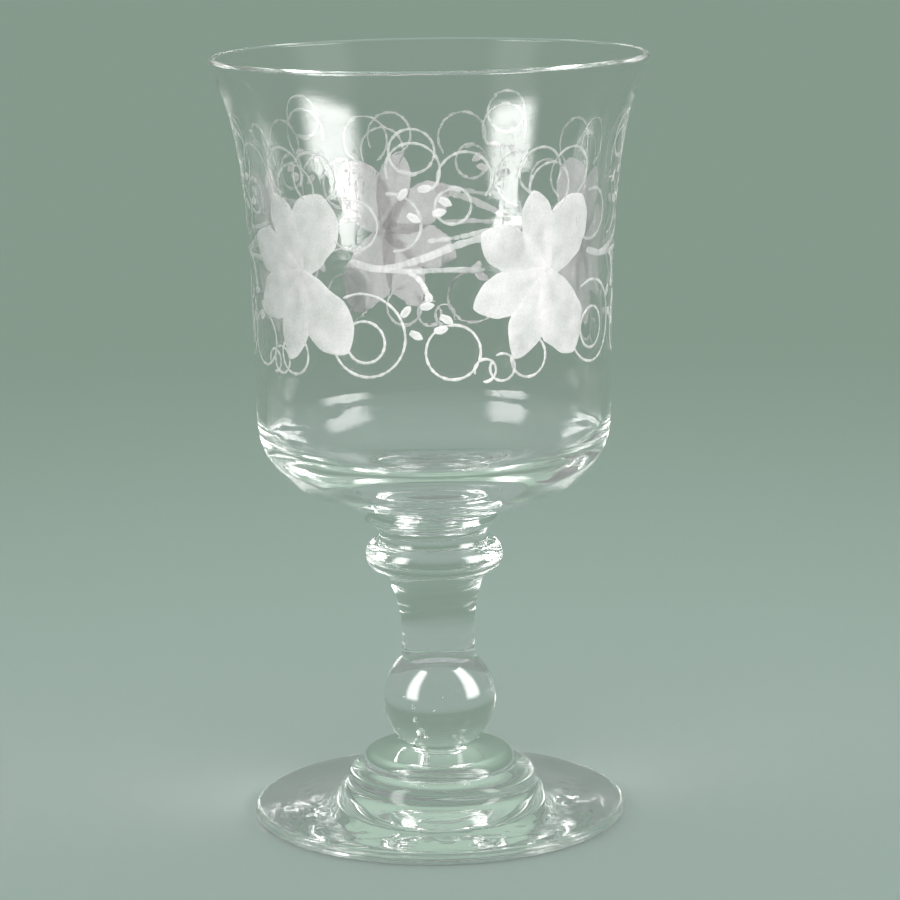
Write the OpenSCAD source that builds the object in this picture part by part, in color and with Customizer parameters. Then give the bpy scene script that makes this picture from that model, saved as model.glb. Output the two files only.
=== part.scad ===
// Engraved goblet of clear blown glass: a bell bowl on two wafers, a short neck with a ring collar,
// a tapering stem, a ball knop, and a round foot with two steps.
// The glass stands on its foot: the origin is the middle of the resting face, and +Z is up.
// Every part is turned about Z. An outline is half a section: x is the distance from the axis, y the height.

/* [Foot] */
// Outer diameter of the foot
foot_d = 73.4; // [68:0.2:80]
// Thickness of the foot's rounded edge
foot_edge_h = 2.4; // [2:0.1:3]
// Height of the foot's top where the lower step stands on it
foot_h = 4.8; // [4:0.1:6]
// Width of the flat ring that the foot rests on
land_w = 5; // [3:0.5:8]
// Depth of the hollow under the middle of the foot
hollow_h = 1.6; // [0.6:0.1:2.2]

/* [Steps of the foot] */
// Diameter of the lower step where it spreads into the foot
lower_step_d = 41.8; // [40:0.2:46]
// Height of the lower step
lower_step_h = 5.2; // [4.4:0.1:6]
// Diameter of the upper step at its base
upper_step_d = 29.8; // [27:0.2:30.4]
// Height of the upper step, up to the knop
upper_step_h = 4.85; // [4.2:0.05:5.6]

/* [Knop and stem] */
// Diameter of the ball knop
knop_d = 22.2; // [20:0.1:24]
// Diameter of the glass where the knop meets the upper step and the stem
knop_joint_d = 14.8; // [13.6:0.1:16]
// Height of the stem, from the knop to the collar
stem_h = 18; // [15:0.1:22]
// Diameter of the stem where it meets the collar
stem_top_d = 20.4; // [19:0.1:21.2]

/* [Collar and neck] */
// Outer diameter of the ring collar
collar_d = 27; // [25:0.1:29]
// Height of the ring collar
collar_h = 5.8; // [5:0.1:6.4]
// Diameter of the neck between the collar and the wafers
neck_d = 21.8; // [21.2:0.1:22.4]
// Height of the neck
neck_h = 2.7; // [2:0.1:4]

/* [Wafers] */
// Outer diameter of the lower wafer
lower_merese_d = 25.9; // [25.2:0.1:27]
// Height of the lower wafer
lower_merese_h = 3; // [2.4:0.1:3.6]
// Outer diameter of the upper wafer
upper_merese_d = 28.6; // [27.8:0.1:30]
// Height of the upper wafer
upper_merese_h = 2.6; // [2.2:0.1:3.2]
// Diameter of the glass between the two wafers
merese_waist_d = 24.6; // [23:0.1:25]
// Diameter of the joint between the upper wafer and the bowl
bowl_joint_d = 26.4; // [25:0.1:27.4]

/* [Bowl] */
// Height of the bowl, from the upper wafer to the rim
bowl_h = 86.5; // [78:0.1:96]
// Outer diameter of the rim
rim_d = 84.2; // [80:0.2:90]
// Slope of the flared rim from the vertical, in degrees
rim_flare = 20; // [12:1:26]
// Outer diameter of the bowl above its rounded shoulder
side_d = 68.9; // [66:0.1:72]
// Width of the rounded shoulder, from the bowl's flat base out to its side
shoulder_w = 18; // [16:0.2:19]
// Height of the rounded shoulder
shoulder_h = 16.4; // [14:0.2:19]
// Thickness of the glass at the rim
rim_wall = 1.3; // [1:0.1:1.8]
// Thickness of the glass in the bowl's side
side_wall = 1.9; // [1.5:0.1:2.6]
// Thickness of the glass in the bowl's base
base_wall = 5.6; // [3.5:0.1:7]

/* [Hidden] */
$fn = 180;
clear_glass = [0.78, 0.86, 0.81, 0.45];

// Heights of the joints between the parts
knop_half = sqrt(pow(knop_d / 2, 2) - pow(knop_joint_d / 2, 2));
lower_step_z = foot_h;
upper_step_z = lower_step_z + lower_step_h;
knop_z = upper_step_z + upper_step_h;
stem_z = knop_z + 2 * knop_half;
collar_z = stem_z + stem_h;
neck_z = collar_z + collar_h;
lower_merese_z = neck_z + neck_h;
upper_merese_z = lower_merese_z + lower_merese_h;
bowl_z = upper_merese_z + upper_merese_h;
rim_z = bowl_z + bowl_h;

// Number of straight pieces that each curve is made of
arc_steps = 12;
flare_steps = 24;

// Points of a cubic curve that leaves a towards b and comes to d from c
function curve(a, b, c, d, steps) = [
    for (i = [0:steps])
        let (t = i / steps, s = 1 - t)
            s * s * s * a + 3 * s * s * t * b + 3 * s * t * t * c + t * t * t * d
];

// Points of an elliptical arc about a centre, from one angle to another
function arc(centre, half_w, half_h, from, to, steps = arc_steps) = [
    for (i = [0:steps])
        let (angle = from + (to - from) * i / steps)
            centre + [half_w * cos(angle), half_h * sin(angle)]
];

// The same points in the other direction
function backwards(points) = [for (i = [len(points) - 1:-1:0]) points[i]];

module turned(outline) {
    color(clear_glass)
        rotate_extrude()
            polygon(outline);
}

// A wafer has a narrow rounded edge, and hollow flanks that run in to the glass above and below it.
// edge_at is how far up the wafer its edge is, as a share of its height.
module wafer(z, height, bottom_r, edge_r, top_r, edge_at) {
    tip_r = 0.55;
    tip_sweep = 75;
    lower_reach = 1.1;
    upper_reach = 0.5;
    tip = [edge_r - tip_r, z + edge_at * height];
    lower_flank = curve([bottom_r, z], [bottom_r, z + (tip.y - z) / 3],
                        tip - [lower_reach, tip_r], tip - [0, tip_r], arc_steps);
    upper_flank = curve(tip + [0, tip_r], tip + [-upper_reach, tip_r],
                        [top_r, z + height - (z + height - tip.y) / 4], [top_r, z + height], arc_steps);
    edge = arc(tip, tip_r, tip_r, -tip_sweep, tip_sweep, 6);
    turned(concat([[0, z]], lower_flank, edge, upper_flank, [[0, z + height]]));
}

// Thin disc with a full round edge. Its top rises towards the middle in a shallow sweep, and its
// underside is hollow inside the flat ring that it rests on.
module foot() {
    edge_r = foot_edge_h / 2;
    edge_centre = [foot_d / 2 - edge_r, edge_r];
    land_inner_r = edge_centre.x - land_w;
    step_r = lower_step_d / 2;
    top_rise = foot_h - foot_edge_h;
    outer_reach = 6;
    inner_reach = 3;
    hollow = curve([0, hollow_h], [0.45 * land_inner_r, hollow_h], [0.7 * land_inner_r, 0.1 * hollow_h],
                   [land_inner_r, 0], arc_steps);
    edge = arc(edge_centre, edge_r, edge_r, -90, 80);
    top = curve([edge_centre.x, foot_edge_h], [edge_centre.x - outer_reach, foot_edge_h + 0.2 * top_rise],
                [step_r + inner_reach, foot_h - 0.3 * top_rise], [step_r, foot_h], arc_steps);
    turned(concat(hollow, edge, top, [[0, foot_h]]));
}

// The flank spreads into the foot, and a soft shoulder leads up to the level top
module foot_lower_step() {
    base = [lower_step_d / 2, lower_step_z];
    flank = base + [-2.4, 0.42 * lower_step_h];
    top = [flank.x - 3.1, upper_step_z];
    shoulder_start = flank + [-0.05, 0.3];
    spread = curve(base, base + [-1.6, 0.3], flank + [0.15, -1], flank, 8);
    shoulder = curve(shoulder_start, [shoulder_start.x - 0.15, top.y - 0.9], top + [1.5, -0.1], top, 8);
    turned(concat([[0, base.y]], spread, shoulder, [[0, top.y]]));
}

// A low cushion whose top sweeps up to the knop
module foot_upper_step() {
    base = [upper_step_d / 2, upper_step_z];
    brow = base + [-1.8, 0.58 * upper_step_h];
    sweep_start = brow + [-0.25, 0.03];
    joint = [knop_joint_d / 2, knop_z];
    side = curve(base, base + [0.2, 0.24 * upper_step_h], brow + [1.4, -0.25], brow, 8);
    sweep = curve(sweep_start, [joint.x + 3.4, brow.y + 0.35], [joint.x + 0.5, brow.y + 0.7], joint, 8);
    turned(concat([[0, base.y]], side, sweep, [[0, joint.y]]));
}

// A ball cut level at both ends
module ball_knop() {
    color(clear_glass)
        intersection() {
            translate([0, 0, knop_z + knop_half])
                sphere(d = knop_d);
            translate([0, 0, knop_z])
                cylinder(h = 2 * knop_half, d = 2 * knop_d);
        }
}

// Solid shank with a hollow outline, slimmest a little above the knop
module stem() {
    bottom_r = knop_joint_d / 2;
    waist_r = bottom_r - 0.55;
    outline = curve([bottom_r, stem_z], [waist_r, stem_z + 0.28 * stem_h],
                    [waist_r, stem_z + 0.6 * stem_h], [stem_top_d / 2, collar_z], 18);
    turned(concat([[0, stem_z]], outline, [[0, collar_z]]));
}

// Ring of glass with a half-round section
module collar() {
    half_h = collar_h / 2;
    root_r = max(stem_top_d, neck_d) / 2;
    bulge = arc([root_r, collar_z + half_h], collar_d / 2 - root_r, half_h, -90, 90, 16);
    turned(concat([[0, collar_z]], bulge, [[0, neck_z]]));
}

// Short drum with a slightly hollow side
module neck() {
    end_r = neck_d / 2;
    hollow_depth = 0.3;
    side = curve([end_r, neck_z], [end_r - hollow_depth, neck_z + 0.3 * neck_h],
                 [end_r - hollow_depth, neck_z + 0.7 * neck_h], [end_r, lower_merese_z], 8);
    turned(concat([[0, neck_z]], side, [[0, lower_merese_z]]));
}

module lower_merese() {
    wafer(lower_merese_z, lower_merese_h, neck_d / 2, lower_merese_d / 2, merese_waist_d / 2, 0.5);
}

module upper_merese() {
    wafer(upper_merese_z, upper_merese_h, merese_waist_d / 2, upper_merese_d / 2, bowl_joint_d / 2, 0.55);
}

// Flat thick base, rounded shoulder, long side and flared rim with a round lip.
// The inside follows the outside, and its floor dips a little in the middle.
module bowl() {
    base_r = side_d / 2 - shoulder_w;
    base_lift = 0.1;
    shoulder_z = bowl_z + base_lift + shoulder_h;
    floor_dip = 0.6;
    floor_z = bowl_z + base_wall;
    floor_edge_z = floor_z + floor_dip;
    lip_r = rim_wall / 2;
    lip = [rim_d / 2 - lip_r, rim_z - lip_r];
    along_flare = [sin(rim_flare), cos(rim_flare)];
    across_flare = lip_r * [cos(rim_flare), -sin(rim_flare)];
    lip_trim = 15;
    side_h = lip.y - shoulder_z;
    side_reach = [0, 0.78 * side_h];
    rim_reach = 0.17 * side_h * along_flare;
    outer_r = side_d / 2;
    inner_r = outer_r - side_wall;

    outer_shoulder = arc([base_r, shoulder_z], shoulder_w, shoulder_h, -90, -4, 16);
    outer_side = curve([outer_r, shoulder_z], [outer_r, shoulder_z] + side_reach,
                       lip + across_flare - rim_reach, lip + across_flare, flare_steps);
    round_lip = arc(lip, lip_r, lip_r, lip_trim - rim_flare, 180 - lip_trim - rim_flare);
    inner_side = curve([inner_r, shoulder_z], [inner_r, shoulder_z] + side_reach,
                       lip - across_flare - rim_reach, lip - across_flare, flare_steps);
    inner_shoulder = arc([base_r, shoulder_z], inner_r - base_r, shoulder_z - floor_edge_z, -90, -4, 16);
    inner_floor = curve([0, floor_z], [0.5 * base_r, floor_z], [0.6 * base_r, floor_edge_z],
                        [0.97 * base_r, floor_edge_z], 8);
    turned(concat([[0, bowl_z], [bowl_joint_d / 2, bowl_z]], outer_shoulder, outer_side, round_lip,
                  backwards(inner_side), backwards(inner_shoulder), backwards(inner_floor)));
}

bowl();
upper_merese();
lower_merese();
neck();
collar();
stem();
ball_knop();
foot_upper_step();
foot_lower_step();
foot();
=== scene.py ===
import math

import bpy
import numpy as np
from mathutils import Matrix, Vector, noise


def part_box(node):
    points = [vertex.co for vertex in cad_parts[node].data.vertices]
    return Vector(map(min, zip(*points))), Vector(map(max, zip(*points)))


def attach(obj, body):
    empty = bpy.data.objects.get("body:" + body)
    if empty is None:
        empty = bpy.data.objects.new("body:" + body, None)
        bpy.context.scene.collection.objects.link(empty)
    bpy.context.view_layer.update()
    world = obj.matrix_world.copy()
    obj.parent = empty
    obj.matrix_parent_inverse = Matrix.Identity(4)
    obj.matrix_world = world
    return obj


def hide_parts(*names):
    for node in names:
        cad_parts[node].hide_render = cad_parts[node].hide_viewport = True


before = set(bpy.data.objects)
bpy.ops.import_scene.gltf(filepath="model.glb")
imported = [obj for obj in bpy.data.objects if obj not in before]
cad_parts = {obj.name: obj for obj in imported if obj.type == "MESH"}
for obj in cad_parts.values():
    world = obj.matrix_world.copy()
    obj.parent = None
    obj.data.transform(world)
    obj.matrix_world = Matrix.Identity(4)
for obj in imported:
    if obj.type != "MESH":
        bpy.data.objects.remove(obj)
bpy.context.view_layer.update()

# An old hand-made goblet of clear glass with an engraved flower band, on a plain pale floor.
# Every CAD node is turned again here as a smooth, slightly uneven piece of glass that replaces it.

MM = 0.001


# ---------------------------------------------------------------- outlines read from the CAD nodes

# In metres: how close two levels are to count as one, and how far off a straight line a point is to be kept
JOIN_TOLERANCE = 2e-6
STRAIGHT_TOLERANCE = 1.2e-6
# A bend over this is a real edge of the glass, and a smaller one is smoothed in steps of TURN_STEP
SHARP_TURN = math.radians(32)
TURN_STEP = math.radians(3.0)
# Where one leg is over this many times as long as the next, it stays straight and only the shorter one bends
UNEVEN_LEGS = 2.2


def rings_of(node):
    """The circles that a turned CAD node's vertices lie on, as (radius, height), in order along its outline.

    Known fault: the order starts at the lower end for seven nodes, but at the upper end for foot_upper_step,
    lower_merese and upper_merese, so turn_glass makes those three inside out.
    """
    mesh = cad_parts[node].data
    co = np.empty(len(mesh.vertices) * 3, np.float32)
    mesh.vertices.foreach_get("co", co)
    co = co.reshape(-1, 3).astype(float)
    pairs = np.round(np.c_[np.hypot(co[:, 0], co[:, 1]), co[:, 2]], 6)
    rings, ring_of = np.unique(pairs, axis=0, return_inverse=True)
    ring_of = ring_of.ravel()
    edges = np.empty(len(mesh.edges) * 2, np.int32)
    mesh.edges.foreach_get("vertices", edges)
    linked = [set() for _ in rings]
    for a, b in np.unique(ring_of[edges.reshape(-1, 2)], axis=0):
        if a != b:
            linked[a].add(b)
            linked[b].add(a)
    ends = [i for i, near in enumerate(linked) if len(near) == 1] or list(range(len(rings)))
    here = min(ends, key=lambda i: (rings[i][1], rings[i][0]))
    order, left = [here], set(range(len(rings))) - {here}
    while left:
        near = [i for i in linked[here] if i in left]
        if not near:
            break
        here = min(near, key=lambda i: np.hypot(*(rings[i] - rings[here])))
        order.append(here)
        left.discard(here)
    return rings[order]


def without_extra(points):
    """The points without any that lie on the straight line between their neighbours."""
    kept = [points[0]]
    for i in range(1, len(points) - 1):
        a, b, c = kept[-1], points[i], points[i + 1]
        if np.hypot(*(b - a)) < 2 * JOIN_TOLERANCE:
            continue
        along = (c - a) / max(np.hypot(*(c - a)), 1e-12)
        off = abs(along[0] * (b - a)[1] - along[1] * (b - a)[0])
        if off > STRAIGHT_TOLERANCE:
            kept.append(b)
    kept.append(points[-1])
    return np.array(kept)


def smooth(points, step):
    """A fine line through the points, smooth where they bend a little, and which of its points are sharp."""
    leg = np.diff(points, axis=0)
    length = np.hypot(leg[:, 0], leg[:, 1])
    way = leg / length[:, None]
    into, out_of = way.copy(), way.copy()
    bend = np.zeros(len(points))
    for i in range(1, len(points) - 1):
        a, b = way[i - 1], way[i]
        turn = math.acos(max(-1.0, min(1.0, float(a @ b))))
        if turn > SHARP_TURN:
            continue
        bend[i] = turn
        if max(length[i - 1], length[i]) > UNEVEN_LEGS * min(length[i - 1], length[i]):
            tangent = a if length[i - 1] > length[i] else b
        else:
            tangent = a * length[i] + b * length[i - 1]
            tangent = tangent / np.hypot(*tangent)
        into[i - 1] = tangent
        out_of[i] = tangent
    fine, sharp = [points[0]], [0]
    for i in range(len(leg)):
        n = max(1, math.ceil(length[i] / step), math.ceil((bend[i] + bend[i + 1]) / 2 / TURN_STEP))
        for k in range(1, n + 1):
            t = k / n
            h = (2 * t**3 - 3 * t**2 + 1, t**3 - 2 * t**2 + t, -2 * t**3 + 3 * t**2, t**3 - t**2)
            fine.append(h[0] * points[i] + h[1] * length[i] * out_of[i]
                        + h[2] * points[i + 1] + h[3] * length[i] * into[i])
        if bend[i + 1] == 0:
            sharp.append(len(fine) - 1)
    return np.array(fine), sharp


OUTLINES = {name: without_extra(rings_of(name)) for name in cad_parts}
STACK = sorted(OUTLINES, key=lambda name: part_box(name)[0].z)


def end_radius(node, top):
    """Radius of the flat end by which a node meets the one above or below it."""
    outline = OUTLINES[node]
    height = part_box(node)[1].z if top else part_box(node)[0].z
    level = outline[np.abs(outline[:, 1] - height) < JOIN_TOLERANCE]
    return float(level[:, 0].max())


JOINTS = [(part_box(upper)[0].z, min(end_radius(lower, True), end_radius(upper, False)))
          for lower, upper in zip(STACK, STACK[1:])]


# ---------------------------------------------------------------- hand-made unevenness

# All in millimetres.
# How far each level of the stem leans off the axis, as (height, x, y)
LEAN = [(0, 0, 0), (4.8, 0.1, 0), (8, 0.5, 0), (12, -0.2, 0.1), (23, 0.3, 0), (40, 0.1, 0),
        (52.3, -0.4, 0.1), (56.5, -0.6, 0), (59.4, -1.0, 0.1), (60.9, 0.0, 0), (62.3, 1.2, -0.1),
        (63.5, 0.9, 0), (66, 0, 0)]
# Above this height the lean fades out away from the axis: it is gone at this radius, over this width
LEAN_FADES_ABOVE = 50
LEAN_RADIUS = 16.8
LEAN_FADE = 2.8
# How far the blown walls wander from a true circle, and how wide a bump or hollow is
WANDER = 0.05
WANDER_WIDTH = 11.0
# The wander starts at this radius, and is full this much further out
WANDER_RADIUS = 17
WANDER_FADE = 6
# The tool marks under the foot: their depth and width, and how far they are raised as a share of the depth
ROUGH_DEPTH = 0.06
ROUGH_WIDTH = 2.2
ROUGH_RAISE = 0.5
# They lie below this height and between these radii, and fade in and out over these widths
ROUGH_BELOW = 2.2
ROUGH_INNER, ROUGH_INNER_FADE = 22, 4
ROUGH_OUTER, ROUGH_OUTER_FADE = 30, 3
# Air bubbles, as (x, y, z) of the middle, radius and how many times as tall as wide
BUBBLES = {
    "ball_knop": [
        ((-4.4, -5.2, 22.8), 0.42, 1.3), ((-4.0, -5.0, 20.6), 0.34, 1.6), ((-3.0, -4.6, 18.2), 0.75, 1.4),
        ((-2.2, -5.6, 17.4), 0.35, 1.0), ((-1.0, -6.2, 22.4), 0.28, 0.8), ((0.4, -6.4, 24.6), 0.22, 1.0),
        ((1.6, -6.0, 26.0), 0.18, 1.0), ((-5.6, -3.0, 24.0), 0.20, 1.0)],
    "foot_upper_step": [((5.0, -8.6, 12.4), 0.5, 0.7), ((-6.2, -8.0, 12.0), 0.25, 1.0)],
    "bowl": [
        ((-1.5, -9.0, 67.2), 0.16, 1.0), ((1.5, 12.0, 66.8), 0.2, 1.0), ((-16.0, -10.0, 67.6), 0.15, 1.0),
        ((9.0, -17.0, 67.4), 0.14, 1.0)],
}
# How finely a bubble is drawn: points round it, and levels from its bottom to its top
BUBBLE_AROUND = 16
BUBBLE_LEVELS = 8


def settle(co):
    """Shifts every point of the glass by the lean of its level and by the wander of the blown walls."""
    lean = np.array(LEAN) * MM
    z = co[:, 2]
    radius = np.hypot(co[:, 0], co[:, 1])
    reach = np.clip((LEAN_RADIUS * MM - radius) / (LEAN_FADE * MM), 0, 1)
    fade = np.where(z < LEAN_FADES_ABOVE * MM, 1.0, reach * reach * (3 - 2 * reach))
    moved = co.copy()
    wide = np.clip((radius - WANDER_RADIUS * MM) / (WANDER_FADE * MM), 0, 1)
    for i in np.nonzero(wide)[0]:
        bump = noise.noise(Vector(co[i] / (WANDER_WIDTH * MM)))
        moved[i, :2] *= 1 + wide[i] * WANDER * MM / radius[i] * bump
    moved[:, 0] += np.interp(z, lean[:, 0], lean[:, 1]) * fade
    moved[:, 1] += np.interp(z, lean[:, 0], lean[:, 2]) * fade
    return moved


def roughen_underside(co):
    """Leaves the maker's tool marks in the hollow under the foot, inside the ring that it rests on."""
    radius = np.hypot(co[:, 0], co[:, 1])
    outer = np.clip((ROUGH_OUTER * MM - radius) / (ROUGH_OUTER_FADE * MM), 0, 1)
    inner = np.clip((radius - ROUGH_INNER * MM) / (ROUGH_INNER_FADE * MM), 0, 1)
    inside = outer * inner
    for i in np.nonzero((inside > 0) & (co[:, 2] < ROUGH_BELOW * MM))[0]:
        mark = noise.noise(Vector(co[i] / (ROUGH_WIDTH * MM)))
        co[i, 2] += inside[i] * ROUGH_DEPTH * MM * (ROUGH_RAISE + mark)
    return co


def bubble(centre, radius, stretch, first):
    """A closed air bubble, its faces turned inwards, as points and faces numbered from first."""
    around, levels = BUBBLE_AROUND, BUBBLE_LEVELS
    points = [(0, 0, -1)]
    for i in range(1, levels):
        low = -math.pi / 2 + math.pi * i / levels
        for j in range(around):
            turn = 2 * math.pi * j / around
            points.append((math.cos(low) * math.cos(turn), math.cos(low) * math.sin(turn), math.sin(low)))
    points.append((0, 0, 1))
    co = (np.array(points) * (radius, radius, radius * stretch) + centre) * MM
    faces = []
    for j in range(around):
        k = (j + 1) % around
        faces.append((first, first + 1 + j, first + 1 + k))
        for i in range(levels - 2):
            a, b = first + 1 + i * around, first + 1 + (i + 1) * around
            faces.append((a + j, b + j, b + k, a + k))
        top = first + 1 + (levels - 2) * around
        faces.append((top + j, first + len(points) - 1, top + k))
    return co, faces


def turn_glass(node, segments, step):
    """Turns a CAD node's outline into a closed mesh, with its joint faces on a material of their own.

    The faces point outwards if the outline starts at its lower end, and inwards if not (see rings_of).
    """
    rings = OUTLINES[node]
    start, end = rings[0], rings[-1]
    for height, radius in JOINTS:
        if abs(start[1] - height) < JOIN_TOLERANCE and start[0] > radius + JOIN_TOLERANCE:
            rings = np.vstack([[radius, height], rings])
        if abs(end[1] - height) < JOIN_TOLERANCE and end[0] > radius + JOIN_TOLERANCE:
            rings = np.vstack([rings, [radius, height]])
    line, sharp = smooth(rings, step)
    line[:, 0] = np.maximum(line[:, 0], 0)
    has_low_pole, has_high_pole = line[0, 0] < JOIN_TOLERANCE, line[-1, 0] < JOIN_TOLERANCE
    low_pole = [0.0, line[0, 1]]
    high_pole = [0.0, line[-1, 1]]
    if has_low_pole:
        line = line[1:]
        sharp = [i - 1 for i in sharp if i > 0]
    if has_high_pole:
        line = line[:-1]
        sharp = [i for i in sharp if i < len(line)]
    n = len(line)
    angles = np.linspace(0, 2 * math.pi, segments, endpoint=False)
    x = line[:, 0:1] * np.cos(angles)
    y = line[:, 0:1] * np.sin(angles)
    z = np.repeat(line[:, 1:2], segments, axis=1)
    co = np.stack([x, y, z], axis=-1).reshape(-1, 3)
    co = np.vstack([co, [0, 0, low_pole[1]], [0, 0, high_pole[1]]])
    low, high = n * segments, n * segments + 1
    j = np.arange(segments)
    k = (j + 1) % segments
    faces, joint = [], []

    def joins(a, b):
        """Whether the face between two rings lies in a joint with the next node."""
        return any(abs(a[1] - h) < JOIN_TOLERANCE and abs(b[1] - h) < JOIN_TOLERANCE
                   and max(a[0], b[0]) < r + JOIN_TOLERANCE for h, r in JOINTS)

    faces += [(low, int(b), int(a)) for a, b in zip(j, k)]
    joint += [joins(low_pole, line[0])] * segments
    for i in range(n - 1):
        a, b = i * segments, (i + 1) * segments
        faces += [(a + int(p), a + int(q), b + int(q), b + int(p)) for p, q in zip(j, k)]
        joint += [joins(line[i], line[i + 1])] * segments
    top = (n - 1) * segments
    faces += [(top + int(p), top + int(q), high) for p, q in zip(j, k)]
    has_joint_above = joins(line[-1], high_pole)
    joint += [has_joint_above] * segments
    if node == STACK[0]:
        co = roughen_underside(co)
    for centre, radius, stretch in BUBBLES.get(node, []):
        hollow, hollow_faces = bubble(centre, radius, stretch, len(co))
        co = np.vstack([co, hollow])
        faces += hollow_faces
        joint += [False] * len(hollow_faces)
    mesh = bpy.data.meshes.new(node + "_glass")
    mesh.from_pydata(settle(co), [], faces)
    mesh.polygons.foreach_set("material_index", np.array(joint, np.int32))
    mesh.polygons.foreach_set("use_smooth", np.ones(len(faces), bool))
    edges = np.empty(len(mesh.edges) * 2, np.int32)
    mesh.edges.foreach_get("vertices", edges)
    ring = edges.reshape(-1, 2) // segments
    creases = {i for i in sharp if 0 <= i < n}
    if joint[0]:
        creases.add(0)
    if has_joint_above:
        creases.add(n - 1)
    for i in range(n - 1):
        below, here, above = (joint[segments * (i + k)] for k in (0, 1, 2))
        if below != here or here != above:
            creases.add(i)
    is_sharp = (ring[:, 0] == ring[:, 1]) & np.isin(ring[:, 0], sorted(creases))
    mesh.edges.foreach_set("use_edge_sharp", is_sharp)
    mesh.update()
    piece = bpy.data.objects.new(node + "_glass", mesh)
    bpy.context.scene.collection.objects.link(piece)
    return piece


# ---------------------------------------------------------------- materials

def new_material(name):
    """An empty node material, with its nodes, its links and its output."""
    material = bpy.data.materials.new(name)
    material.use_nodes = True
    nodes, links = material.node_tree.nodes, material.node_tree.links
    nodes.clear()
    output = nodes.new("ShaderNodeOutputMaterial")
    return material, nodes, links, output


def glass_material():
    """Clear, slightly mauve-grey glass with faint level ripples from the tools."""
    material, nodes, links, output = new_material("clear_glass")
    shader = nodes.new("ShaderNodeBsdfPrincipled")
    shader.inputs["Base Color"].default_value = (0.958, 0.948, 0.956, 1)
    shader.inputs["Roughness"].default_value = 0.0
    shader.inputs["IOR"].default_value = 1.52
    shader.inputs["Transmission Weight"].default_value = 1.0
    place = nodes.new("ShaderNodeTexCoord")
    stretch = nodes.new("ShaderNodeMapping")
    stretch.inputs["Scale"].default_value = (60, 60, 420)
    ripple = nodes.new("ShaderNodeTexNoise")
    ripple.inputs["Scale"].default_value = 1.0
    ripple.inputs["Detail"].default_value = 2.0
    bump = nodes.new("ShaderNodeBump")
    bump.inputs["Strength"].default_value = 0.4
    bump.inputs["Distance"].default_value = 0.00006
    links.new(place.outputs["Object"], stretch.inputs["Vector"])
    links.new(stretch.outputs["Vector"], ripple.inputs["Vector"])
    links.new(ripple.outputs["Fac"], bump.inputs["Height"])
    links.new(bump.outputs["Normal"], shader.inputs["Normal"])
    links.new(shader.outputs["BSDF"], output.inputs["Surface"])
    return material


def joint_material():
    """The fused joints between gathers: there is no surface there, so light goes straight through."""
    material, nodes, links, output = new_material("fused_joint")
    shader = nodes.new("ShaderNodeBsdfTransparent")
    links.new(shader.outputs["BSDF"], output.inputs["Surface"])
    return material


CLEAR = glass_material()
JOINED = joint_material()
# How finely a piece is turned: faces round it, and the longest step along its outline
SEGMENTS, WIDE_SEGMENTS = 128, {"bowl": 192, "foot": 192}
STEP, BOWL_STEP = 0.4 * MM, 0.8 * MM
pieces = []
for node in STACK:
    step = BOWL_STEP if node == "bowl" else STEP
    piece = turn_glass(node, WIDE_SEGMENTS.get(node, SEGMENTS), step)
    piece.data.materials.append(CLEAR)
    piece.data.materials.append(JOINED)
    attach(piece, "root")
    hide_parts(node)
    pieces.append(piece)


# ---------------------------------------------------------------- engraving

# A plain band of flowers, branches, berries and curls stands for the ground marks on the bowl's outside.
# It is drawn in the bowl's own terms: a bearing in degrees round from the front, to the right if positive,
# and a height in millimetres. The other lengths are in millimetres too.

BOWL_LINE, _ = smooth(OUTLINES["bowl"], BOWL_STEP)
BOWL_OUTSIDE = BOWL_LINE[:int(np.argmax(BOWL_LINE[:, 1])) + 1] / MM
# The air between the bowl and a mark's shell, and how thick the shell is
CUT_GAP = 0.02
CUT_LIFT = 0.05
# A petal: the wave of its edge and its least width, as shares of its width
EDGE_WAVE = 0.16
LEAST_WIDTH = 0.02
# How deep a petal is cut, how much more along its edge, and how much less along its middle rib
FACE_DEPTH, EDGE_DEPTH, RIB_DEPTH = 0.86, 0.14, 0.18
# The rib's width, as a share of half the petal's width
RIB_WIDTH = 0.25
# A line: its longest step, how unsteady its width and its depth are, and how narrow its ends are
LINE_STEP = 0.45
UNSTEADY_WIDTH, UNSTEADY_DEPTH = 0.45, 0.4
LINE_END = 0.4
# Where the points across a line lie, as shares of its half width
LINE_ACROSS = np.array([-1.0, -0.55, 0.55, 1.0])
# A curl has a point about every this many degrees, and never fewer steps than this
CURL_STEP = 24
CURL_LEAST_STEPS = 8
# A bend over this between two faces of a mark stays sharp
MARK_SHARP_TURN = math.radians(60)


def bowl_radius(height):
    """Outer radius of the bowl in millimetres at a height in millimetres."""
    return np.interp(height, BOWL_OUTSIDE[:, 1], BOWL_OUTSIDE[:, 0])


def on_bowl(bearing, height, lift):
    """Points in metres that stand lift millimetres proud of the bowl's outside."""
    bearing = np.radians(bearing)
    slope = bowl_radius(height + 0.5) - bowl_radius(height - 0.5)
    tilt = np.hypot(1, slope)
    radius = bowl_radius(height) + lift / tilt
    place = [radius * np.sin(bearing), -radius * np.cos(bearing), height - lift * slope / tilt]
    return np.stack(place, axis=-1) * MM


def degrees_for(length, height):
    """The bearing that an arc of this length in millimetres takes up round the bowl."""
    return np.degrees(length / bowl_radius(height))


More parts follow.
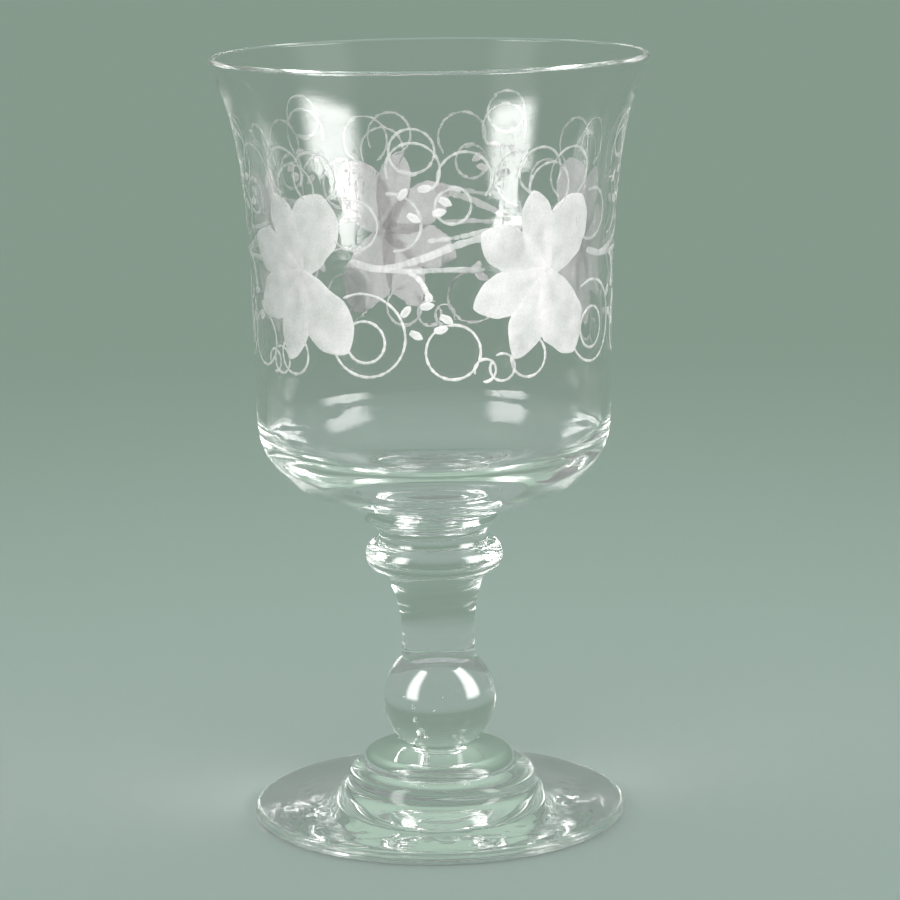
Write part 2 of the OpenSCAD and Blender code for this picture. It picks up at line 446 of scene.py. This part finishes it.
class Cut:
    """One kind of engraved mark: thin closed shells on the bowl, with how deep it is cut at every point."""

    def __init__(self, name):
        self.name = name
        self.points, self.faces, self.depth = [], [], []

    def sheet(self, bearing, height, lift, depth):
        """Adds a closed shell over a grid of bearings and heights, thin at its edges.

        Known fault: its faces point inwards, and two of its corner triangles have no thickness.
        """
        rows, columns = bearing.shape
        base = len(self.points)
        thick = np.full((rows, columns), CUT_GAP)
        thick[1:-1, 1:-1] += lift
        outer = on_bowl(bearing, height, thick)
        inner = on_bowl(bearing[1:-1, 1:-1], height[1:-1, 1:-1], CUT_GAP)
        self.points += outer.reshape(-1, 3).tolist() + inner.reshape(-1, 3).tolist()
        self.depth += depth.ravel().tolist() + depth[1:-1, 1:-1].ravel().tolist()
        over = base + np.arange(rows * columns).reshape(rows, columns)
        under = over.copy()
        inside = np.arange((rows - 2) * (columns - 2)).reshape(rows - 2, -1)
        under[1:-1, 1:-1] = base + rows * columns + inside
        for i in range(rows - 1):
            for j in range(columns - 1):
                top = over[i, j], over[i, j + 1], over[i + 1, j + 1], over[i + 1, j]
                bottom = under[i, j], under[i + 1, j], under[i + 1, j + 1], under[i, j + 1]
                self.faces.append([int(v) for v in top])
                self.faces.append([int(v) for v in bottom])

    def petal(self, bearing, height, toward, length, width, lift=CUT_LIFT,
              rows=26, columns=13, root=0.3, tip=0.62):
        """A rounded blade that grows from a point, toward an angle from level, with a slightly wavy edge.

        root is its width at the start as a share of its full width, and tip is how far along it is widest.
        """
        s = 0.5 - 0.5 * np.cos(np.linspace(0, math.pi, rows))
        rise = np.clip(s / tip, 0, 1)
        fall = np.clip((s - tip) / (1 - tip), 0, 1)
        half = width / 2 * (root + (1 - root) * np.sin(rise * math.pi / 2)) * (1 - fall ** 1.8) ** 0.7
        wave = np.array([noise.noise(Vector((v * 5.5, length * 7.3, toward * 0.37))) for v in s])
        half = np.maximum(half * (1 + EDGE_WAVE * wave), width * LEAST_WIDTH)
        half[0] *= 0.5
        across = np.linspace(-1, 1, columns)
        a = s[:, None] * length + 0 * across[None, :]
        b = half[:, None] * across[None, :]
        turn = math.radians(toward)
        z = height + a * math.sin(turn) + b * math.cos(turn)
        sideways = a * math.cos(turn) - b * math.sin(turn)
        rib = np.exp(-(across / RIB_WIDTH) ** 2)[None, :] * (1 - s)[:, None]
        brim = np.maximum(np.abs(across)[None, :], s[:, None]) ** 6
        depth = FACE_DEPTH + EDGE_DEPTH * brim - RIB_DEPTH * rib
        self.sheet(bearing + degrees_for(sideways, z), z, lift, depth)

    def line(self, track, width, depth):
        """A thin, slightly unsteady cut along a smooth line through points, each a bearing and a height."""
        points = [np.array(p, float) for p in track]
        points = [2 * points[0] - points[1]] + points + [2 * points[-1] - points[-2]]
        fine = []
        for p0, p1, p2, p3 in zip(points, points[1:], points[2:], points[3:]):
            size = math.hypot(math.radians(p2[0] - p1[0]) * bowl_radius(p1[1]), p2[1] - p1[1])
            steps = max(2, math.ceil(size / LINE_STEP))
            for t in np.arange(steps) / steps:
                fine.append(0.5 * (2 * p1 + (p2 - p0) * t + (2 * p0 - 5 * p1 + 4 * p2 - p3) * t * t
                                   + (3 * p1 - p0 - 3 * p2 + p3) * t ** 3))
        fine = np.array(fine + [points[-2]])
        along = np.gradient(np.c_[np.radians(fine[:, 0]) * bowl_radius(fine[:, 1]), fine[:, 1]], axis=0)
        along /= np.hypot(along[:, 0], along[:, 1])[:, None]
        unsteady = np.array([noise.noise(Vector((f[0] * 0.9, f[1] * 1.7, width))) for f in fine])
        half = width / 2 * (1 + UNSTEADY_WIDTH * unsteady)
        half[0] *= LINE_END
        half[-1] *= LINE_END
        z = fine[:, 1:] + (along[:, :1] * half[:, None]) * LINE_ACROSS
        bearing = fine[:, :1] + degrees_for(-along[:, 1:] * half[:, None] * LINE_ACROSS, z)
        self.sheet(bearing, z, CUT_LIFT, depth * (1 + UNSTEADY_DEPTH * unsteady[:, None]) + 0 * z)

    def curl(self, bearing, height, radius, start, turn, growth, width, depth):
        """A line round a loop, from a start angle through a turn in degrees, that grows by a share."""
        track = []
        steps = max(CURL_LEAST_STEPS, int(abs(turn) / CURL_STEP))
        for share in np.arange(steps + 1) / steps:
            angle = math.radians(start + turn * share)
            size = radius * (1 + growth * share)
            z = height + size * math.sin(angle)
            track.append((bearing + degrees_for(size * math.cos(angle), z), z))
        self.line(track, width, depth)

    def build(self, material):
        """Makes the piece that holds all the marks of this kind."""
        mesh = bpy.data.meshes.new(self.name)
        mesh.from_pydata(self.points, [], self.faces)
        mesh.polygons.foreach_set("use_smooth", np.ones(len(self.faces), bool))
        mesh.set_sharp_from_angle(angle=MARK_SHARP_TURN)
        depth = mesh.attributes.new("cut_depth", "FLOAT", "POINT")
        depth.data.foreach_set("value", np.clip(self.depth, 0, 1).astype(np.float32))
        mesh.materials.append(material)
        mesh.update()
        piece = bpy.data.objects.new(self.name, mesh)
        bpy.context.scene.collection.objects.link(piece)
        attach(piece, "root")
        return piece


def ground_material():
    """Wheel-ground glass: a matte white that scatters light from both sides, denser where it is cut deep."""
    material, nodes, links, output = new_material("ground_glass")
    place = nodes.new("ShaderNodeTexCoord")
    grain = nodes.new("ShaderNodeTexNoise")
    grain.inputs["Scale"].default_value = 2400
    grain.inputs["Detail"].default_value = 3.0
    mottle = nodes.new("ShaderNodeTexNoise")
    mottle.inputs["Scale"].default_value = 260
    links.new(place.outputs["Object"], grain.inputs["Vector"])
    links.new(place.outputs["Object"], mottle.inputs["Vector"])
    sum_of = nodes.new("ShaderNodeMath")
    sum_of.operation = "ADD"
    links.new(grain.outputs["Fac"], sum_of.inputs[0])
    links.new(mottle.outputs["Fac"], sum_of.inputs[1])
    cover = nodes.new("ShaderNodeMapRange")
    cover.inputs["From Min"].default_value = 0.7
    cover.inputs["From Max"].default_value = 1.25
    cover.inputs["To Min"].default_value = 0.74
    cover.inputs["To Max"].default_value = 0.95
    links.new(sum_of.outputs["Value"], cover.inputs["Value"])
    depth = nodes.new("ShaderNodeAttribute")
    depth.attribute_name = "cut_depth"
    share = nodes.new("ShaderNodeMath")
    share.operation = "MULTIPLY"
    links.new(cover.outputs["Result"], share.inputs[0])
    links.new(depth.outputs["Fac"], share.inputs[1])
    bump = nodes.new("ShaderNodeBump")
    bump.inputs["Strength"].default_value = 0.35
    bump.inputs["Distance"].default_value = 0.00004
    links.new(grain.outputs["Fac"], bump.inputs["Height"])
    tone = nodes.new("ShaderNodeValToRGB")
    tone.color_ramp.elements[0].position = 0.35
    tone.color_ramp.elements[0].color = (0.89, 0.87, 0.88, 1)
    tone.color_ramp.elements[1].position = 0.65
    tone.color_ramp.elements[1].color = (0.96, 0.93, 0.95, 1)
    links.new(mottle.outputs["Fac"], tone.inputs["Fac"])
    face = nodes.new("ShaderNodeBsdfPrincipled")
    face.inputs["Roughness"].default_value = 0.65
    face.inputs["Specular IOR Level"].default_value = 0.25
    links.new(tone.outputs["Color"], face.inputs["Base Color"])
    links.new(bump.outputs["Normal"], face.inputs["Normal"])
    through = nodes.new("ShaderNodeBsdfTranslucent")
    links.new(tone.outputs["Color"], through.inputs["Color"])
    ground = nodes.new("ShaderNodeMixShader")
    ground.inputs["Fac"].default_value = 0.5
    links.new(face.outputs["BSDF"], ground.inputs[1])
    links.new(through.outputs["BSDF"], ground.inputs[2])
    clear = nodes.new("ShaderNodeBsdfTransparent")
    both = nodes.new("ShaderNodeMixShader")
    links.new(share.outputs["Value"], both.inputs["Fac"])
    links.new(clear.outputs["BSDF"], both.inputs[1])
    links.new(ground.outputs["Shader"], both.inputs[2])
    links.new(both.outputs["Shader"], output.inputs["Surface"])
    return material


# Bearing of each flower's middle; a spray of branches, berries and curls fills the gap to the next one
FLOWER_BEARINGS = [-44, 37, 117, 196, 256]
FLOWER_HEIGHT = 111.5
# How far the flowers are turned, to one side and the other in turn, in degrees
FLOWER_TURN = 5
# Petals, as (angle from level, length, width) in degrees and millimetres
PETALS = [(62, 16.5, 11.5), (108, 16, 7.5), (154, 16, 8.5),
          (-154, 16, 8.5), (-108, 17, 7.5), (-60, 17.5, 11)]
# How thick the first petal's shell is, and how much more each next one has, so that no two coincide
PETAL_LIFT = 0.04
PETAL_LIFT_STEP = 0.012
# In a spray, a place is a share of the gap from its middle, and a height.
# Branches, as (places, width, depth)
BRANCHES = [([(-0.27, 114.6), (-0.15, 113.4), (0.0, 115.2), (0.14, 117.8), (0.28, 119.5)], 1.25, 0.5),
            ([(-0.18, 113.4), (-0.05, 113.0), (0.10, 113.2), (0.24, 113.0)], 1.0, 0.45),
            ([(0.03, 118.6), (0.14, 119.2), (0.26, 120.4)], 0.8, 0.4),
            ([(-0.05, 113.2), (0.0, 111.2), (0.03, 108.2)], 0.95, 0.9)]
# Clusters of berries in the middle of the gap: their heights, how many berries each has, and how far out
# from its middle they lie, in degrees round the bowl and in millimetres up
CLUSTER_HEIGHTS = (103.8, 125.6)
CLUSTER_BERRIES = 5
CLUSTER_WIDE, CLUSTER_TALL = 6.2, 2.5
# Where round the cluster the first berry lies, and the angles from level that the berries take in turn
CLUSTER_START = 20
BERRY_ANGLES = (-30, 10, 50)
BERRY = {"length": 2.7, "width": 1.5, "rows": 9, "columns": 7, "root": 0.55, "tip": 0.5}
# The bud at the end of the last branch
BUD_PLACE = (0.03, 107.3)
BUD = {"toward": 90, "length": 1.7, "width": 1.6, "rows": 9, "columns": 7, "root": 0.6, "tip": 0.5}
# Curls, as (share of the gap, height, radius, start, turn, growth)
CURLS = [(-0.22, 99.6, 3.9, -160, 380, 0.0), (-0.22, 100.4, 8.4, 120, -330, -0.2),
         (0.12, 97.8, 5.1, 20, 385, 0.0), (-0.02, 135.2, 4.0, 240, 400, 0.1),
         (-0.02, 131.8, 5.0, 200, -250, 0.0), (0.16, 130, 4.8, 190, -230, 0.1),
         (0.12, 125, 3.1, 60, 400, 0.15), (-0.25, 121.5, 4.6, 110, -290, 0.1),
         (-0.40, 129.8, 4.6, -60, 300, 0.1), (-0.55, 130.5, 5.0, -30, 290, -0.2),
         (-0.10, 121.5, 6.0, 100, -190, -0.2), (0.31, 94.5, 2.4, 150, 330, 0.1),
         (0.24, 94.2, 2.0, 200, -300, 0.1), (0.42, 96.0, 3.4, 120, 330, 0.2),
         (0.50, 127.5, 4.4, 240, -320, 0.1)]
CURL_WIDTH = 0.5
# Curls above the flowers' middle are cut less deep than those below
CURL_DEPTH_LOW = 0.75
CURL_DEPTH_HIGH = 0.42

flowers = Cut("engraved_flowers")
branches = Cut("engraved_branches")
berries = Cut("engraved_berries")
curls = Cut("engraved_curls")
for flower_no, bearing in enumerate(FLOWER_BEARINGS):
    tilt = FLOWER_TURN * (-1) ** flower_no
    for i, (toward, length, width) in enumerate(PETALS):
        lift = PETAL_LIFT + PETAL_LIFT_STEP * i
        flowers.petal(bearing, FLOWER_HEIGHT, toward + tilt, length, width, lift=lift)
    following = (FLOWER_BEARINGS + [FLOWER_BEARINGS[0] + 360])[flower_no + 1]
    middle, gap = (bearing + following) / 2, following - bearing
    for places, width, depth in BRANCHES:
        branches.line([(middle + share * gap, height) for share, height in places], width, depth)
    for cluster_height in CLUSTER_HEIGHTS:
        for k in range(CLUSTER_BERRIES):
            angle = math.radians(360 / CLUSTER_BERRIES * k + CLUSTER_START)
            berry_bearing = middle + CLUSTER_WIDE * math.cos(angle)
            berry_height = cluster_height + CLUSTER_TALL * math.sin(angle)
            berries.petal(berry_bearing, berry_height, BERRY_ANGLES[k % len(BERRY_ANGLES)], **BERRY)
    berries.petal(middle + BUD_PLACE[0] * gap, BUD_PLACE[1], **BUD)
    for share, height, radius, start, turn, growth in CURLS:
        depth = CURL_DEPTH_HIGH if height > FLOWER_HEIGHT else CURL_DEPTH_LOW
        curls.curl(middle + share * gap, height, radius, start, turn, growth, CURL_WIDTH, depth)
GROUND = ground_material()
engraved = [cut.build(GROUND) for cut in (flowers, branches, berries, curls)]


# ---------------------------------------------------------------- floor, light and camera

# The glass rests on the floor with a film of air between them, so the floor is a hair lower
FLOOR_GAP = 0.03 * MM
# The colour of the horizon, and how many times as bright the sky is, as (sine of the height, brightness)
HORIZON = (0.238, 0.322, 0.264)
SKY = [(-1.0, 1.0), (0.10, 1.0), (0.30, 1.1), (0.60, 1.4), (0.80, 1.9), (1.0, 2.0)]
# A painted pool of light: how much lighter the floor's colour is near the glass than far off, where it
# matches the sky at the horizon
FLOOR_PAINTED_LIGHT = (1.42, 1.36, 1.47)
# In metres: how far from the glass the painted pool of light has faded to the floor's far tone, and how far
# the floor reaches
PAINTED_LIGHT_FADE = 0.6
FLOOR_RADIUS = 7.0
FLOOR_SEGMENTS = 96


def sky_gain():
    """How much brighter the sky's light on a level floor is than the horizon."""
    heights = np.linspace(0, 1, 401)
    levels = np.interp(heights, [h for h, _ in SKY], [v for _, v in SKY])
    return float(np.mean(levels * heights) * 2)


def floor_piece():
    """A plain round floor, with a pool of light painted into its colour near the glass."""
    material, nodes, links, output = new_material("floor_with_painted_light")
    shader = nodes.new("ShaderNodeBsdfPrincipled")
    far = 1 / sky_gain()
    place = nodes.new("ShaderNodeTexCoord")
    away = nodes.new("ShaderNodeVectorMath")
    away.operation = "LENGTH"
    spread = nodes.new("ShaderNodeMapRange")
    spread.interpolation_type = "SMOOTHSTEP"
    spread.inputs["From Min"].default_value = 0.0
    spread.inputs["From Max"].default_value = PAINTED_LIGHT_FADE
    # A pool of light painted into the floor's colour: lighter near the glass, fading out to the far tone
    painted_light_ramp = nodes.new("ShaderNodeValToRGB")
    painted_light_ramp.color_ramp.elements[0].color = tuple(far * c for c in FLOOR_PAINTED_LIGHT) + (1,)
    painted_light_ramp.color_ramp.elements[1].color = (far, far, far, 1)
    links.new(place.outputs["Object"], away.inputs[0])
    links.new(away.outputs["Value"], spread.inputs["Value"])
    links.new(spread.outputs["Result"], painted_light_ramp.inputs["Fac"])
    links.new(painted_light_ramp.outputs["Color"], shader.inputs["Base Color"])
    shader.inputs["Roughness"].default_value = 0.9
    shader.inputs["Specular IOR Level"].default_value = 0.0
    links.new(shader.outputs["BSDF"], output.inputs["Surface"])
    verts = [(0, 0, 0)]
    for i in range(FLOOR_SEGMENTS):
        turn = 2 * math.pi * i / FLOOR_SEGMENTS
        verts.append((FLOOR_RADIUS * math.cos(turn), FLOOR_RADIUS * math.sin(turn), 0))
    faces = [(0, 1 + i, 1 + (i + 1) % FLOOR_SEGMENTS) for i in range(FLOOR_SEGMENTS)]
    mesh = bpy.data.meshes.new("floor")
    mesh.from_pydata(verts, [], faces)
    mesh.materials.append(material)
    floor = bpy.data.objects.new("floor", mesh)
    floor.location.z = -FLOOR_GAP
    bpy.context.scene.collection.objects.link(floor)


def sky():
    """A plain sky that gets brighter with height."""
    world = bpy.data.worlds.new("studio")
    bpy.context.scene.world = world
    world.use_nodes = True
    nodes, links = world.node_tree.nodes, world.node_tree.links
    nodes.clear()
    output = nodes.new("ShaderNodeOutputWorld")
    light = nodes.new("ShaderNodeBackground")
    place = nodes.new("ShaderNodeTexCoord")
    split = nodes.new("ShaderNodeSeparateXYZ")
    spread = nodes.new("ShaderNodeMapRange")
    spread.inputs["From Min"].default_value = -1.0
    spread.inputs["From Max"].default_value = 1.0
    ramp = nodes.new("ShaderNodeValToRGB")
    peak = max(v for _, v in SKY)
    stops = ramp.color_ramp.elements
    for i, (height, level) in enumerate(SKY):
        stop = stops[i] if i < 2 else stops.new((height + 1) / 2)
        stop.position = (height + 1) / 2
        stop.color = tuple(c * level / peak for c in HORIZON) + (1,)
    light.inputs["Strength"].default_value = peak
    links.new(place.outputs["Generated"], split.inputs["Vector"])
    links.new(split.outputs["Z"], spread.inputs["Value"])
    links.new(spread.outputs["Result"], ramp.inputs["Fac"])
    links.new(ramp.outputs["Color"], light.inputs["Color"])
    links.new(light.outputs["Background"], output.inputs["Surface"])


# How a softbox fades out towards its edges, as (share of the way over it, brightness). Every one fades by
# FADE_ACROSS over its width, and by one of the others over its height: FADE_LOW is bright only low down.
FADE_ACROSS = [(0.0, 0.0), (0.35, 1.0), (0.65, 1.0), (1.0, 0.0)]
FADE_LOW = [(0.0, 0.0), (0.035, 1.0), (0.27, 1.0), (0.37, 0.04), (0.9, 0.04), (1.0, 0.0)]
FADE_TALL = [(0.0, 0.0), (0.05, 1.0), (0.75, 1.0), (1.0, 0.0)]
FADE_EVEN = [(0.0, 0.0), (0.4, 1.0), (0.6, 1.0), (1.0, 0.0)]
LAMP_COLOUR = (1.0, 0.99, 0.97)


def softbox(name, bearing, distance, low, high, width, radiance, fade_up, lit):
    """A soft light on one part of the glass, as wide and as far from the axis as given, between two heights.

    Its bearing is in degrees round from the camera's side, to the right if positive. Lengths are in metres.
    """
    turn = math.radians(bearing)
    out = Vector((math.sin(turn), -math.cos(turn), 0))
    lamp = bpy.data.lights.new(name, "AREA")
    lamp.shape = "RECTANGLE"
    lamp.size = width
    lamp.size_y = high - low
    lamp.energy = radiance * math.pi * width * (high - low)
    lamp.color = LAMP_COLOUR
    box = bpy.data.objects.new(name, lamp)
    box.location = out * distance + Vector((0, 0, (low + high) / 2))
    box.rotation_mode = "QUATERNION"
    box.rotation_quaternion = out.to_track_quat("Z", "Y")
    box.visible_camera = False
    bpy.context.scene.collection.objects.link(box)
    box.light_linking.receiver_collection = lit
    lamp.use_nodes = True
    nodes, links = lamp.node_tree.nodes, lamp.node_tree.links
    place = nodes.new("ShaderNodeNewGeometry")
    split = nodes.new("ShaderNodeSeparateXYZ")
    links.new(place.outputs["Parametric"], split.inputs["Vector"])
    fades = nodes.new("ShaderNodeMath")
    fades.operation = "MULTIPLY"
    for i, (axis, fade) in enumerate((("X", FADE_ACROSS), ("Y", fade_up))):
        ramp = nodes.new("ShaderNodeValToRGB")
        ramp.color_ramp.interpolation = "EASE"
        stops = ramp.color_ramp.elements
        for k, (position, level) in enumerate(fade):
            stop = stops[k] if k < 2 else stops.new(position)
            stop.position = position
            stop.color = (level, level, level, 1)
        links.new(split.outputs[axis], ramp.inputs["Fac"])
        links.new(ramp.outputs["Color"], fades.inputs[i])
    links.new(fades.outputs["Value"], nodes["Emission"].inputs["Strength"])


floor_piece()
sky()


def group(name, members):
    """A collection that a light can be kept to."""
    collection = bpy.data.collections.new(name)
    for member in members:
        collection.objects.link(member)
    return collection


# The lights are set for one part of the glass each, so that each part shows its highlights where they belong
on_bowl_only = group("lit_bowl", [p for p in pieces if p.name.startswith("bowl")])
on_foot = group("lit_foot", [p for p in pieces if p.name.startswith("foot")])
on_stem = group("lit_stem", [p for p in pieces if not p.name.startswith(("bowl", "foot"))])
on_engraving = group("lit_engraving", engraved)
# As (name, bearing, distance, lower edge, upper edge, width, radiance, fade over its height, what it lights)
LIGHTS = [
    ("left_bowl_light", -56, 0.8, 0.02, 1.25, 0.62, 13.0, FADE_LOW, on_bowl_only),
    ("right_bowl_light", 69, 0.8, 0.02, 1.25, 0.76, 12.0, FADE_LOW, on_bowl_only),
    ("left_stem_light", -60, 0.8, 0.0, 2.4, 0.55, 17.0, FADE_TALL, on_stem),
    ("right_stem_light", 74, 0.8, 0.0, 2.8, 0.66, 17.0, FADE_TALL, on_stem),
    ("left_foot_light", -56, 0.8, 0.02, 1.0, 0.34, 5.0, FADE_TALL, on_foot),
    ("right_foot_light", 66, 0.8, 0.02, 1.0, 0.34, 5.0, FADE_TALL, on_foot),
    ("front_fill", 10, 1.6, 0.2, 2.6, 3.2, 11.0, FADE_EVEN, on_engraving),
    ("back_fill", 175, 1.6, 0.2, 2.6, 3.2, 9.0, FADE_EVEN, on_engraving),
]
for light in LIGHTS:
    softbox(*light)


# The photograph's camera: its place in metres, how far it looks down, to the right and rolls in degrees, its
# lens and sensor in millimetres, and the nearest and farthest that it sees in metres
CAMERA_PLACE = (0, -0.6473, 0.1999)
CAMERA_PITCH, CAMERA_YAW, CAMERA_ROLL = 11.109, 0.264, -0.841
LENS = 135.15
SENSOR_WIDTH = 36.0
NEAREST, FARTHEST = 0.01, 100.0


def camera():
    """Sets the scene's camera where the photograph was taken from."""
    data = bpy.data.cameras.new("camera")
    data.sensor_width = SENSOR_WIDTH
    data.lens = LENS
    data.clip_start = NEAREST
    data.clip_end = FARTHEST
    obj = bpy.data.objects.new("camera", data)
    bpy.context.scene.collection.objects.link(obj)
    pitch, yaw, roll = (math.radians(v) for v in (CAMERA_PITCH, CAMERA_YAW, CAMERA_ROLL))
    forward = Vector((math.sin(yaw) * math.cos(pitch), math.cos(yaw) * math.cos(pitch), -math.sin(pitch)))
    level = Vector((math.cos(yaw), -math.sin(yaw), 0))
    above = level.cross(forward)
    right = math.cos(roll) * level + math.sin(roll) * above
    up = -math.sin(roll) * level + math.cos(roll) * above
    turn = Matrix((right, up, -forward)).transposed()
    obj.matrix_world = Matrix.Translation(CAMERA_PLACE) @ turn.to_4x4()
    bpy.context.scene.camera = obj


camera()
scene = bpy.context.scene
scene.view_settings.view_transform = "Standard"
# Light runs a long way round inside the glass, and each total reflection there counts as a glossy bounce
LIGHT_BOUNCES = 200
scene.cycles.max_bounces = LIGHT_BOUNCES
scene.cycles.transmission_bounces = LIGHT_BOUNCES
scene.cycles.glossy_bounces = LIGHT_BOUNCES
scene.cycles.transparent_max_bounces = LIGHT_BOUNCES
